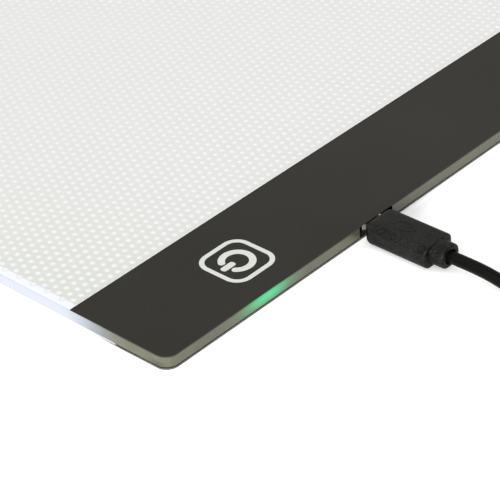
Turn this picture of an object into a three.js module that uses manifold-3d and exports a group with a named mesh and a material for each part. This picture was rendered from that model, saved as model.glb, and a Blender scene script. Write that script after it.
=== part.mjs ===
// Thin A4 light box: an edge-lit acrylic sheet on four rubber feet, with a row of LEDs and a touch
// switch under a black strip along one short edge, and a detachable micro USB lead.
// Millimetres, +Z up. The origin is under the middle of the pad, on the table that it stands on.
// The black strip lies along the front edge, which is at -Y.
import * as THREE from 'three';
import { mergeVertices } from 'three/addons/utils/BufferGeometryUtils.js';
import Module from 'manifold-3d';

const wasm = await Module();
wasm.setup();

// ---------------------------------------------------------------- driving dimensions
const PAD_WIDTH = 235;
const PAD_LENGTH = 335;
const PAD_CORNER = 4;
const LEFT = -PAD_WIDTH / 2;
const FRONT = -PAD_LENGTH / 2;

// The layers from the table up. AIR is the space left between two layers.
const AIR = 0.05;
const FOOT_HEIGHT = 1.5;
const COVER_THICKNESS = 0.4;
const BACKING_THICKNESS = 0.2;
const GUIDE_THICKNESS = 3.6;
const FILM_THICKNESS = 0.2;
const COVER_Z = FOOT_HEIGHT;
const BACKING_Z = COVER_Z + COVER_THICKNESS + AIR;
const GUIDE_Z = BACKING_Z + BACKING_THICKNESS + AIR;
const GUIDE_TOP = GUIDE_Z + GUIDE_THICKNESS;
const FILM_Z = GUIDE_TOP + AIR;
const FILM_TOP = FILM_Z + FILM_THICKNESS;

const FOOT_RADIUS = 5;
const FOOT_INSET = 9.5;

// Distances with IN are measured from the pad's left or front edge.
const STRIP_DEPTH = 36.9;
const KEY_X_IN = 45.6;
const KEY_Y_IN = 16.45;
const KEY_SIDE = 18.1;
const KEY_CORNER = 5.1;
const KEY_LINE = 1.5;
const KEY_RING_RADIUS = 5.5;
const KEY_RING_LINE = 2.1;
const KEY_BAR_WIDTH = 2.1;
const KEY_BAR_LENGTH = 5.05;
const KEY_BAR_OVERHANG = 0.75;
const KEY_BAR_CORNER = 0.85;
const KEY_GAP_ANGLE = Math.PI / 5;
const KEY_CURVE_SEGMENTS = 14;
const INLAY_DEPTH = 0.1;
const INLAY_GAP = 0.04;

const GUIDE_CHAMFER = 0.2;
const LED_SLOT_IN = [17.2, 19.7];
const LED_SLOT_END = 7;
const LED_COUNT = 24;
const LED_PITCH = 8.9;
const LED_SIZE = [3, 0.8, 1.4];
const LED_BAR = [219, 0.8, 3.2];
const LED_BAR_Y_IN = 17.45;
const BAY_IN = [28.6, 2.8, 101.4, 16.4];
const BAY_CORNER = 1.5;
const LEAD_SLOT_IN = [89.5, 95];

const BOARD_IN = [30, 3.2, 100, 15.8];
const BOARD_Z = 2.5;
const BOARD_THICKNESS = 0.8;
const BOARD_TOP = BOARD_Z + BOARD_THICKNESS;
const INDICATOR_X_IN = 40.3;

const PORT_X_IN = 85.95;
const PORT_Z = 4;
const PORT_CUT_IN = [79.5, 94.3];
const SOCKET_MOUTH_IN = 1;
const SOCKET_DEPTH = 5.4;
const SOCKET_INSIDE = [7.15, 2.1, 0.68];
const SOCKET_OUTSIDE = [7.75, 2.7, 0.8];
const SOCKET_LIP = [8.3, 3.2, 0.95];
const SOCKET_LIP_DEPTH = 0.6;

const SHELL_OUTSIDE = [6.85, 1.8, 0.6];
const SHELL_INSIDE = [6.35, 1.3, 0.5];
const SHELL_TIP_IN = 4.8;
const CONTACT_PITCH = 0.65;
const PLUG_FACE_IN = -1.25;
const PLUG_LENGTH = 22.1;
const PLUG_SECTION = [12.3, 7.2, 1.5];
const COLLAR_SECTION = [7.5, 6.8, 2.4];
const COLLAR_LENGTH = 4.45;
const PLUG_SEAT_DEPTH = 2;

// The lead: straight out of the plug, down to the table, into a round coil, and out to its USB-A plug.
const CORD_DIAMETER = 3.8;
const COIL_RADIUS = 21.8;
const COIL_TURNS_ACROSS = 4;
const COIL_LAYERS = 2;
const COIL_CENTRE_IN = -68;
const PORT_X = LEFT + PORT_X_IN;
const COIL_X = PORT_X + COIL_RADIUS + 1.5 * CORD_DIAMETER;
const COIL_Y = FRONT + COIL_CENTRE_IN;
const TAIL_Y = COIL_Y - COIL_RADIUS - 1.5 * CORD_DIAMETER;
const CORD_ROUTE = [
  [PORT_X, FRONT - 28.1, 4],
  [PORT_X, FRONT - 34, 4],
  [PORT_X, FRONT - 40, 3.75],
  [PORT_X, FRONT - 46.5, 2.9],
  [PORT_X, FRONT - 52.7, 2.15],
];
const TAIL_ROUTE = [
  [COIL_X + 15.2, TAIL_Y, 4.1],
  [COIL_X + 21, TAIL_Y, 3.2],
  [COIL_X + 27, TAIL_Y, 3.3],
  [COIL_X + 33.7, TAIL_Y, 3.95],
];
const USB_A_START_X = COIL_X + 34;
const USB_A_Z = 3.95;
const USB_A_RELIEF_LENGTH = 8;
const USB_A_BODY_LENGTH = 25;
const USB_A_SECTION = [15.6, 7.8, 2.2];
const USB_A_SHELL = [12, 4.5];
const USB_A_WALL = 0.3;
const USB_A_SHELL_LENGTH = 18.75;

// ---------------------------------------------------------------- finishes
const FINISHES = {
  acrylic: { color: 0xc9cec4, roughness: 0.08, metalness: 0, transparent: true, opacity: 0.5 },
  whiteSheet: { color: 0xf1f1ee, roughness: 0.6, metalness: 0 },
  blackFilm: { color: 0x393834, roughness: 0.75, metalness: 0 },
  whitePrint: { color: 0xdfe1da, roughness: 0.6, metalness: 0 },
  circuitBoard: { color: 0x1f5a35, roughness: 0.5, metalness: 0.1 },
  ledBody: { color: 0xf3eed2, roughness: 0.4, metalness: 0 },
  greenLed: { color: 0x63f0a0, roughness: 0.3, metalness: 0 },
  chipBlack: { color: 0x1b1b1d, roughness: 0.55, metalness: 0 },
  ceramic: { color: 0xa98b64, roughness: 0.5, metalness: 0 },
  foam: { color: 0x4a4c50, roughness: 0.9, metalness: 0 },
  steel: { color: 0xc7c9cc, roughness: 0.3, metalness: 1 },
  contactCarrier: { color: 0x202022, roughness: 0.6, metalness: 0 },
  rubber: { color: 0x2b2c2b, roughness: 0.9, metalness: 0 },
  cableBlack: { color: 0x2a2b29, roughness: 0.65, metalness: 0 },
  redWire: { color: 0xb3261e, roughness: 0.5, metalness: 0 },
  blackWire: { color: 0x1d1d1d, roughness: 0.5, metalness: 0 },
};

// ---------------------------------------------------------------- shape helpers

// A rectangle in XY with its own radius at the front and at the back corners.
function panelShape(x0, y0, x1, y1, frontRadius, backRadius = frontRadius) {
  const shape = new THREE.Shape();
  const quarter = Math.PI / 2;
  shape.moveTo(x0 + frontRadius, y0);
  shape.lineTo(x1 - frontRadius, y0);
  if (frontRadius > 0) shape.absarc(x1 - frontRadius, y0 + frontRadius, frontRadius, -quarter, 0);
  shape.lineTo(x1, y1 - backRadius);
  if (backRadius > 0) shape.absarc(x1 - backRadius, y1 - backRadius, backRadius, 0, quarter);
  shape.lineTo(x0 + backRadius, y1);
  if (backRadius > 0) shape.absarc(x0 + backRadius, y1 - backRadius, backRadius, quarter, 2 * quarter);
  shape.lineTo(x0, y0 + frontRadius);
  if (frontRadius > 0) shape.absarc(x0 + frontRadius, y0 + frontRadius, frontRadius, 2 * quarter, 3 * quarter);
  return shape;
}

// A shape in XY as a slab from z0 to z1, with chamfered rims where chamfer is given.
function slab(shape, z0, z1, chamfer = 0, curveSegments = 6) {
  const options = {
    depth: z1 - z0 - 2 * chamfer,
    bevelEnabled: chamfer > 0,
    bevelThickness: chamfer,
    bevelSize: chamfer,
    bevelOffset: -chamfer,
    bevelSegments: 1,
    curveSegments,
  };
  return new THREE.ExtrudeGeometry(shape, options).translate(0, 0, z0 + chamfer);
}

function box(x0, x1, y0, y1, z0, z1) {
  const geometry = new THREE.BoxGeometry(x1 - x0, y1 - y0, z1 - z0);
  return geometry.translate((x0 + x1) / 2, (y0 + y1) / 2, (z0 + z1) / 2);
}

// A shape drawn in XZ, pushed along Y from y0 to y1.
function alongY(shape, y0, y1) {
  const geometry = new THREE.ExtrudeGeometry(shape, { depth: y1 - y0, bevelEnabled: false, curveSegments: 4 });
  return geometry.rotateX(Math.PI / 2).translate(0, y1, 0);
}

function toSolid(geometry) {
  const plain = geometry.clone();
  plain.deleteAttribute('normal');
  plain.deleteAttribute('uv');
  const merged = mergeVertices(plain, 1e-4);
  const vertProperties = new Float32Array(merged.attributes.position.array);
  const triVerts = new Uint32Array(merged.index.array);
  return new wasm.Manifold(new wasm.Mesh({ numProp: 3, vertProperties, triVerts }));
}

function toGeometry(solid) {
  const mesh = solid.getMesh();
  const geometry = new THREE.BufferGeometry();
  geometry.setAttribute('position', new THREE.BufferAttribute(new Float32Array(mesh.vertProperties), 3));
  geometry.setIndex(new THREE.BufferAttribute(new Uint32Array(mesh.triVerts), 1));
  geometry.computeVertexNormals();
  return geometry;
}

function cut(geometry, tools) {
  let solid = toSolid(geometry);
  for (const tool of tools) solid = solid.subtract(toSolid(tool));
  return toGeometry(solid);
}

function join(pieces) {
  let solid = toSolid(pieces[0]);
  for (const piece of pieces.slice(1)) solid = solid.add(toSolid(piece));
  return toGeometry(solid);
}

// The outline of a micro USB shell in XZ: flat and wide below, with both upper corners cut off.
function microOutline([width, height, corner], x = PORT_X, z = PORT_Z) {
  const shape = new THREE.Shape();
  const half = width / 2;
  const low = z - height / 2;
  const high = z + height / 2;
  shape.moveTo(x - half, low);
  shape.lineTo(x + half, low);
  shape.lineTo(x + half, high - corner);
  shape.lineTo(x + half - corner, high);
  shape.lineTo(x - half + corner, high);
  shape.lineTo(x - half, high - corner);
  shape.closePath();
  return shape;
}

// A round-cornered rectangle as a ring of points, for the lofts below.
function sectionRing([width, height, radius], stepsPerCorner = 6) {
  const corners = [[1, 1], [-1, 1], [-1, -1], [1, -1]];
  return corners.flatMap(([sx, sy], quarter) => {
    const cx = sx * (width / 2 - radius);
    const cy = sy * (height / 2 - radius);
    return Array.from({ length: stepsPerCorner + 1 }, (_, i) => {
      const angle = (quarter + i / stepsPerCorner) * Math.PI / 2;
      return [cx + radius * Math.cos(angle), cy + radius * Math.sin(angle)];
    });
  });
}

// A closed solid through sections of { at, size }, with at growing along +Z.
function loft(sections) {
  const rings = sections.map(({ at, size }) => sectionRing(size).map(([x, y]) => [x, y, at]));
  const count = rings[0].length;
  const points = rings.flat();
  const faces = [];
  for (let ring = 0; ring < rings.length - 1; ring += 1) {
    for (let i = 0; i < count; i += 1) {
      const a = ring * count + i;
      const b = ring * count + (i + 1) % count;
      faces.push(a, b, b + count, a, b + count, a + count);
    }
  }
  const lowCentre = points.length;
  points.push([0, 0, sections[0].at], [0, 0, sections.at(-1).at]);
  const last = (rings.length - 1) * count;
  for (let i = 0; i < count; i += 1) {
    const next = (i + 1) % count;
    faces.push(lowCentre, next, i);
    faces.push(lowCentre + 1, last + i, last + next);
  }
  const geometry = new THREE.BufferGeometry();
  geometry.setAttribute('position', new THREE.Float32BufferAttribute(points.flat(), 3));
  geometry.setIndex(faces);
  return geometry;
}

// A round tube through hand-placed points.
function tube(route, diameter, steps, sides = 8) {
  const curve = new THREE.CatmullRomCurve3(route.map((point) => new THREE.Vector3(...point)));
  const section = new THREE.Shape();
  for (let i = 0; i < sides; i += 1) {
    const angle = i / sides * 2 * Math.PI;
    const x = diameter / 2 * Math.cos(angle);
    const y = diameter / 2 * Math.sin(angle);
    if (i === 0) section.moveTo(x, y);
    else section.lineTo(x, y);
  }
  section.closePath();
  return new THREE.ExtrudeGeometry(section, { steps, extrudePath: curve, bevelEnabled: false });
}

// ---------------------------------------------------------------- assembly
const lightBox = new THREE.Group();
const pad = new THREE.Group();
const lead = new THREE.Group();
lightBox.add(pad, lead);

function add(parent, name, geometry, finish) {
  const mesh = new THREE.Mesh(geometry, new THREE.MeshStandardMaterial(FINISHES[finish]));
  mesh.name = name;
  parent.add(mesh);
}

// ---------------------------------------------------------------- light guide and its sheets

// The guide is one laser-cut acrylic sheet: a slot for the LED bar, a bay for the circuit board,
// a gap between them for the leads, and an opening in the front edge for the plug.
function lightGuide() {
  const sheet = slab(panelShape(LEFT, FRONT, -LEFT, -FRONT, PAD_CORNER), GUIDE_Z, GUIDE_TOP, GUIDE_CHAMFER);
  const [bayX0, bayY0, bayX1, bayY1] = BAY_IN;
  const low = GUIDE_Z - 1;
  const high = GUIDE_TOP + 1;
  const ledSlot = box(
    LEFT + LED_SLOT_END, -LEFT - LED_SLOT_END,
    FRONT + LED_SLOT_IN[0], FRONT + LED_SLOT_IN[1], low, high,
  );
  const bay = slab(
    panelShape(LEFT + bayX0, FRONT + bayY0, LEFT + bayX1, FRONT + bayY1, BAY_CORNER), low, high,
  );
  const leadSlot = box(
    LEFT + LEAD_SLOT_IN[0], LEFT + LEAD_SLOT_IN[1],
    FRONT + bayY1 - 1, FRONT + LED_SLOT_IN[0] + 0.5, low, high,
  );
  const port = box(
    LEFT + PORT_CUT_IN[0], LEFT + PORT_CUT_IN[1],
    FRONT - 1, FRONT + bayY0 + 0.5, low, high,
  );
  return cut(sheet, [ledSlot, bay, leadSlot, port]);
}

const maskEnd = FRONT + LED_SLOT_IN[1];
const sheetShape = panelShape(LEFT, maskEnd + 0.3, -LEFT, -FRONT, 0, PAD_CORNER);
const maskShape = panelShape(LEFT, FRONT, -LEFT, maskEnd, PAD_CORNER, 0);
const coverShape = panelShape(LEFT, FRONT, -LEFT, -FRONT, PAD_CORNER);
add(pad, 'light_guide_plate', lightGuide(), 'acrylic');
add(pad, 'reflector_sheet', slab(sheetShape, BACKING_Z, BACKING_Z + BACKING_THICKNESS), 'whiteSheet');
add(pad, 'bay_mask_film', slab(maskShape, BACKING_Z, BACKING_Z + BACKING_THICKNESS), 'blackFilm');
add(pad, 'rear_cover', slab(coverShape, COVER_Z, COVER_Z + COVER_THICKNESS), 'whiteSheet');

// ---------------------------------------------------------------- control strip and key mark
const keyX = LEFT + KEY_X_IN;
const keyY = FRONT + KEY_Y_IN;

// The key mark's three shapes, grown by an allowance for the recesses that hold them.
function keyFrameShape(grow) {
  const outer = KEY_SIDE / 2 + grow;
  const inner = KEY_SIDE / 2 - KEY_LINE - grow;
  const shape = panelShape(keyX - outer, keyY - outer, keyX + outer, keyY + outer, KEY_CORNER + grow);
  const hole = panelShape(
    keyX - inner, keyY - inner, keyX + inner, keyY + inner, KEY_CORNER - KEY_LINE - grow,
  );
  shape.holes.push(hole);
  return shape;
}

function keyArcShape(grow) {
  const shape = new THREE.Shape();
  const middle = KEY_RING_RADIUS - KEY_RING_LINE / 2;
  const half = KEY_RING_LINE / 2 + grow;
  const start = -Math.PI + KEY_GAP_ANGLE;
  const end = Math.PI - KEY_GAP_ANGLE;
  const endX = keyX + middle * Math.cos(end);
  const endY = middle * Math.sin(end);
  shape.absarc(keyX, keyY, middle + half, start, end);
  shape.absarc(endX, keyY + endY, half, end, end + Math.PI);
  shape.absarc(keyX, keyY, middle - half, end, start, true);
  shape.absarc(endX, keyY - endY, half, start + Math.PI, start + 2 * Math.PI);
  return shape;
}

// The bar points out through the ring's gap, which faces the pad's left edge.
function keyBarShape(grow) {
  const half = KEY_BAR_WIDTH / 2 + grow;
  const outerEnd = keyX - KEY_RING_RADIUS - KEY_BAR_OVERHANG;
  const x0 = outerEnd - grow;
  const x1 = outerEnd + KEY_BAR_LENGTH + grow;
  return panelShape(x0, keyY - half, x1, keyY + half, KEY_BAR_CORNER + grow);
}

function controlStrip() {
  const back = FRONT + STRIP_DEPTH;
  const sheet = slab(panelShape(LEFT, FRONT, -LEFT, back, PAD_CORNER, 0), FILM_Z, FILM_TOP);
  const recessFloor = FILM_TOP - INLAY_DEPTH - INLAY_GAP;
  const shapes = [keyFrameShape(INLAY_GAP), keyArcShape(INLAY_GAP), keyBarShape(INLAY_GAP)];
  return cut(sheet, shapes.map((shape) => slab(shape, recessFloor, FILM_TOP + 1, 0, KEY_CURVE_SEGMENTS)));
}

function keyInlay(shape) {
  return slab(shape, FILM_TOP - INLAY_DEPTH, FILM_TOP, 0, KEY_CURVE_SEGMENTS);
}

add(pad, 'control_strip_film', controlStrip(), 'blackFilm');
add(pad, 'power_key_frame', keyInlay(keyFrameShape(0)), 'whitePrint');
add(pad, 'power_key_arc', keyInlay(keyArcShape(0)), 'whitePrint');
add(pad, 'power_key_bar', keyInlay(keyBarShape(0)), 'whitePrint');

// ---------------------------------------------------------------- LED bar
const slotMiddleZ = GUIDE_Z + GUIDE_THICKNESS / 2;
const ledFaceY = FRONT + LED_BAR_Y_IN + LED_BAR[1] + AIR;

// A side-mounted LED: a white body with a sunk, sloping window on the side towards the guide.
function ledPackage(x) {
  const [width, depth, height] = LED_SIZE;
  const body = box(
    x - width / 2, x + width / 2, ledFaceY, ledFaceY + depth,
    slotMiddleZ - height / 2, slotMiddleZ + height / 2,
  );
  const window = loft([
    { at: 0, size: [width - 1, height - 0.6, 0.2] },
    { at: 0.35, size: [width - 0.5, height - 0.2, 0.3] },
  ]);
  window.rotateX(-Math.PI / 2).translate(x, ledFaceY + depth - 0.3, slotMiddleZ);
  return cut(body, [window]);
}

const barHalf = LED_BAR[0] / 2;
const barBoard = box(
  -barHalf, barHalf, FRONT + LED_BAR_Y_IN, FRONT + LED_BAR_Y_IN + LED_BAR[1],
  slotMiddleZ - LED_BAR[2] / 2, slotMiddleZ + LED_BAR[2] / 2,
);
add(pad, 'led_bar_board', barBoard, 'circuitBoard');
for (let i = 0; i < LED_COUNT; i += 1) {
  const x = (i - (LED_COUNT - 1) / 2) * LED_PITCH;
  add(pad, `led_${String(i + 1).padStart(2, '0')}`, ledPackage(x), 'ledBody');
}

// ---------------------------------------------------------------- control board
function controlBoard() {
  const [x0, y0, x1, y1] = BOARD_IN;
  const board = slab(
    panelShape(LEFT + x0, FRONT + y0, LEFT + x1, FRONT + y1, 0.8), BOARD_Z, BOARD_TOP,
  );
  const socketCut = box(
    PORT_X - 4.1, PORT_X + 4.1, FRONT + y0 - 1, FRONT + SOCKET_MOUTH_IN + SOCKET_DEPTH + 0.3,
    BOARD_Z - 1, BOARD_TOP + 1,
  );
  return cut(board, [socketCut]);
}

// A moulded chip body with sloping sides, on gull-wing legs along its two long sides.
function chip(xIn, yIn, [width, depth, height], legsFront, legsBack) {
  const x = LEFT + xIn;
  const y = FRONT + yIn;
  const base = BOARD_TOP + AIR;
  const body = loft([
    { at: base + 0.1, size: [width, depth, 0.1] },
    { at: base + height / 2, size: [width + 0.1, depth + 0.1, 0.1] },
    { at: base + height, size: [width - 0.15, depth - 0.15, 0.1] },
  ]).translate(x, y, 0);
  const legs = [[legsFront, -1], [legsBack, 1]].flatMap(([count, side]) =>
    Array.from({ length: count }, (_, i) => {
      const legX = x + (i - (count - 1) / 2) * 0.95;
      const inner = y + side * (depth / 2 - 0.2);
      const knee = y + side * (depth / 2 + 0.3);
      const toe = y + side * (depth / 2 + 0.65);
      const arm = box(
        legX - 0.2, legX + 0.2, Math.min(inner, knee), Math.max(inner, knee),
        base + height * 0.4, base + height * 0.4 + 0.15,
      );
      const shin = box(
        legX - 0.2, legX + 0.2, Math.min(knee, knee - side * 0.15), Math.max(knee, knee - side * 0.15),
        base, base + height * 0.4 + 0.15,
      );
      const sole = box(
        legX - 0.2, legX + 0.2, Math.min(knee - side * 0.15, toe), Math.max(knee - side * 0.15, toe),
        base, base + 0.15,
      );
      return join([arm, shin, sole]);
    }));
  return join([body, ...legs]);
}

// A two-ended part, with slightly thicker metal end caps.
function endCapped(xIn, yIn, [width, depth, height]) {
  const x = LEFT + xIn;
  const y = FRONT + yIn;
  const base = BOARD_TOP + AIR;
  const middle = box(x - width / 2, x + width / 2, y - depth / 2 + 0.05, y + depth / 2 - 0.05,
    base + 0.05, base + height - 0.05);
  const caps = [-1, 1].map((side) => {
    const inner = x + side * (width / 2 - 0.4);
    const outer = x + side * width / 2;
    return box(Math.min(inner, outer), Math.max(inner, outer), y - depth / 2, y + depth / 2,
      base, base + height);
  });
  return join([middle, ...caps]);
}

add(pad, 'control_board', controlBoard(), 'circuitBoard');
add(pad, 'touch_chip', chip(56, 9.5, [2.9, 1.6, 1.1], 3, 3), 'chipBlack');
add(pad, 'dimmer_transistor', chip(64, 9.5, [2.9, 1.3, 1], 2, 1), 'chipBlack');
add(pad, 'capacitor_1', endCapped(70, 7, [2, 1.25, 1]), 'ceramic');
add(pad, 'capacitor_2', endCapped(70, 11.5, [2, 1.25, 1]), 'ceramic');
add(pad, 'resistor_1', endCapped(75.5, 7, [2, 1.25, 0.55]), 'chipBlack');
add(pad, 'resistor_2', endCapped(75.5, 11.5, [2, 1.25, 0.55]), 'chipBlack');
add(pad, 'indicator_led', endCapped(INDICATOR_X_IN, 4, [2, 1, 0.9]), 'greenLed');

// Conductive foam carries the touch from under the key mark to the board.
const foamShape = panelShape(keyX - 4.5, FRONT + 6, keyX + 4.5, FRONT + 14.6, 1);
add(pad, 'touch_foam', slab(foamShape, BOARD_TOP + AIR, GUIDE_TOP - AIR), 'foam');

// Two short leads bridge the board and the LED bar.
function bridgeLead(xIn) {
  const x = LEFT + xIn;
  const soldered = BOARD_TOP + 0.6;
  const route = [
    [x, FRONT + 12.6, soldered],
    [x, FRONT + 14.2, soldered + 0.15],
    [x, FRONT + 15.8, soldered + 0.45],
    [x, FRONT + LED_BAR_Y_IN - 0.1, slotMiddleZ + 0.3],
  ];
  return tube(route, 1, 5);
}
add(pad, 'lead_red', bridgeLead(91.2), 'redWire');
add(pad, 'lead_black', bridgeLead(93.4), 'blackWire');

// ---------------------------------------------------------------- micro USB socket
const mouthY = FRONT + SOCKET_MOUTH_IN;
const socketBackY = mouthY + SOCKET_DEPTH;

// A folded steel shell with a flared lip, two latch windows below and two ears on the board.
function socketShell() {
  const wall = microOutline(SOCKET_OUTSIDE);
  const lip = microOutline(SOCKET_LIP);
  const ears = [-1, 1].map((side) => {
    const inner = PORT_X + side * (SOCKET_OUTSIDE[0] / 2 - 0.1);
    const outer = PORT_X + side * (SOCKET_OUTSIDE[0] / 2 + 1.4);
    return box(Math.min(inner, outer), Math.max(inner, outer), mouthY + 3, socketBackY - 0.4,
      BOARD_TOP + AIR, BOARD_TOP + AIR + 0.25);
  });
  const body = join([
    alongY(wall, mouthY, socketBackY),
    alongY(lip, mouthY, mouthY + SOCKET_LIP_DEPTH),
    ...ears,
  ]);
  const windows = [-1, 1].map((side) => box(
    PORT_X + side * 1.9 - 0.45, PORT_X + side * 1.9 + 0.45, mouthY + 2.2, mouthY + 3.4,
    PORT_Z - SOCKET_LIP[1], PORT_Z - SOCKET_INSIDE[1] / 2 + 0.2,
  ));
  return cut(body, [alongY(microOutline(SOCKET_INSIDE), mouthY - 1, socketBackY + 1), ...windows]);
}

// The socket's insulator: a block that closes the shell, a tongue with five contacts, and five pins.
function socketTongue() {
  const blockFront = socketBackY - 1.3;
  const grown = [SOCKET_INSIDE[0] - 2 * AIR, SOCKET_INSIDE[1] - 2 * AIR, SOCKET_INSIDE[2]];
  const block = alongY(microOutline(grown), blockFront, socketBackY);
  const tongueLow = PORT_Z - 0.1;
  const tongue = box(PORT_X - 2, PORT_X + 2, mouthY + 0.9, blockFront + 0.1, tongueLow, tongueLow + 0.55);
  const contacts = Array.from({ length: 5 }, (_, i) => {
    const x = PORT_X + (i - 2) * CONTACT_PITCH;
    return box(x - 0.18, x + 0.18, mouthY + 1.1, blockFront + 0.1, tongueLow - 0.06, tongueLow + 0.1);
  });
  const pins = Array.from({ length: 5 }, (_, i) => {
    const x = PORT_X + (i - 2) * CONTACT_PITCH;
    return box(x - 0.18, x + 0.18, socketBackY - 0.2, socketBackY + 1.5,
      BOARD_TOP + AIR, BOARD_TOP + AIR + 0.18);
  });
  return join([block, tongue, ...contacts, ...pins]);
}
add(pad, 'usb_socket_shell', socketShell(), 'steel');
add(pad, 'usb_socket_tongue', socketTongue(), 'contactCarrier');

// ---------------------------------------------------------------- feet

// A self-adhesive rubber foot, domed down to a small flat that stands on the table.
function foot(x, y) {
  const profile = [
    [0, 0],
    [FOOT_RADIUS - 1.6, 0],
    [FOOT_RADIUS - 0.9, 0.15],
    [FOOT_RADIUS - 0.35, 0.5],
    [FOOT_RADIUS - 0.05, 1],
    [FOOT_RADIUS, FOOT_HEIGHT - AIR],
    [0, FOOT_HEIGHT - AIR],
  ];
  const turned = new THREE.LatheGeometry(profile.map(([r, z]) => new THREE.Vector2(r, z)), 32);
  return turned.rotateX(Math.PI / 2).translate(x, y, 0);
}
const footX = PAD_WIDTH / 2 - FOOT_INSET;
const footY = PAD_LENGTH / 2 - FOOT_INSET;
add(pad, 'foot_front_left', foot(-footX, -footY), 'rubber');
add(pad, 'foot_front_right', foot(footX, -footY), 'rubber');
add(pad, 'foot_back_left', foot(-footX, footY), 'rubber');
add(pad, 'foot_back_right', foot(footX, footY), 'rubber');

// ---------------------------------------------------------------- micro USB plug
const plugFaceY = FRONT + PLUG_FACE_IN;
const seatY = plugFaceY - PLUG_SEAT_DEPTH;
const shellTipY = FRONT + SHELL_TIP_IN;

// The plug's folded shell, with two low latch barbs under it that snap into the socket's windows.
function plugShell() {
  const outer = alongY(microOutline(SHELL_OUTSIDE), seatY + 0.1, shellTipY);
  const hollow = alongY(microOutline(SHELL_INSIDE), seatY - 1, shellTipY + 1);
  const barbs = [-1, 1].map((side) => box(
    PORT_X + side * 1.9 - 0.3, PORT_X + side * 1.9 + 0.3, mouthY + 2.4, mouthY + 3.1,
    PORT_Z - SHELL_OUTSIDE[1] / 2 - 0.09, PORT_Z - SHELL_OUTSIDE[1] / 2 + 0.1,
  ));
  return join([cut(outer, [hollow]), ...barbs]);
}

function plugContacts() {
  const low = PORT_Z - SHELL_INSIDE[1] / 2 + AIR;
  const wafer = box(PORT_X - 2.9, PORT_X + 2.9, seatY + 0.15, shellTipY - 0.4, low, low + 0.33);
  const strips = Array.from({ length: 5 }, (_, i) => {
    const x = PORT_X + (i - 2) * CONTACT_PITCH;
    return box(x - 0.15, x + 0.15, mouthY + 0.5, shellTipY - 0.6, low + 0.2, low + 0.38);
  });
  return join([wafer, ...strips]);
}

// The moulded grip and its stepped collar, with a plain raised oval where a thumb rests.
function plugBody() {
  const [width, height, radius] = PLUG_SECTION;
  const [collarWidth, collarHeight, collarRadius] = COLLAR_SECTION;
  const end = PLUG_LENGTH + COLLAR_LENGTH;
  const grip = loft([
    { at: 0, size: [width - 2.4, height - 2, radius - 0.5] },
    { at: 0.35, size: [width - 0.9, height - 0.8, radius - 0.2] },
    { at: 1.2, size: [width, height, radius] },
    { at: PLUG_LENGTH - 0.8, size: [width, height, radius] },
    { at: PLUG_LENGTH - 0.2, size: [width - 0.4, height - 0.3, radius - 0.1] },
    { at: PLUG_LENGTH, size: [width - 1, height - 0.35, radius - 0.2] },
    { at: PLUG_LENGTH + 0.05, size: COLLAR_SECTION },
    { at: end - 0.6, size: COLLAR_SECTION },
    { at: end - 0.15, size: [collarWidth - 0.5, collarHeight - 0.5, collarRadius - 0.2] },
    { at: end, size: [collarWidth - 1.1, collarHeight - 1.1, collarRadius - 0.4] },
  ]);
  grip.rotateX(Math.PI / 2).translate(PORT_X, plugFaceY, PORT_Z);
  const oval = new THREE.Shape();
  oval.absellipse(PORT_X, plugFaceY - PLUG_LENGTH * 0.45, 2.2, 4, 0, 2 * Math.PI);
  const thumbRest = slab(oval, PORT_Z + height / 2 - 0.5, PORT_Z + height / 2 + 0.18);
  const seat = [SHELL_OUTSIDE[0] + 0.1, SHELL_OUTSIDE[1] + 0.1, SHELL_OUTSIDE[2]];
  return cut(join([grip, thumbRest]), [alongY(microOutline(seat), seatY, plugFaceY + 1)]);
}
add(lead, 'plug_shell', plugShell(), 'steel');
add(lead, 'plug_contacts', plugContacts(), 'contactCarrier');
add(lead, 'plug_body', plugBody(), 'cableBlack');

// ---------------------------------------------------------------- cord and coil

// The coil as the round ring that its turns fill.
function coilRing() {
  const half = COIL_TURNS_ACROSS * CORD_DIAMETER / 2;
  const height = COIL_LAYERS * CORD_DIAMETER;
  const corner = CORD_DIAMETER / 2;
  const section = sectionRing([2 * half, height, corner - 0.01], 3);
  const profile = section.map(([x, y]) => new THREE.Vector2(COIL_RADIUS + x, y + height / 2));
  profile.push(profile[0].clone());
  const ring = new THREE.LatheGeometry(profile, 40);
  return ring.rotateX(Math.PI / 2).translate(COIL_X, COIL_Y, 0);
}
add(lead, 'usb_cord', tube(CORD_ROUTE, CORD_DIAMETER, 6), 'cableBlack');
add(lead, 'usb_cord_coil', coilRing(), 'cableBlack');
add(lead, 'usb_cord_tail', tube(TAIL_ROUTE, CORD_DIAMETER, 4), 'cableBlack');

// ---------------------------------------------------------------- USB-A plug

// Turns a solid that was made along +Z so that it lies along +X, its width along Y.
function layAlongX(geometry, startX) {
  return geometry.rotateY(Math.PI / 2).rotateX(Math.PI / 2).translate(startX, TAIL_Y, USB_A_Z);
}

const usbABodyEndX = USB_A_START_X + USB_A_RELIEF_LENGTH + USB_A_BODY_LENGTH;
const usbASeatX = usbABodyEndX - 2.5;

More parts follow.
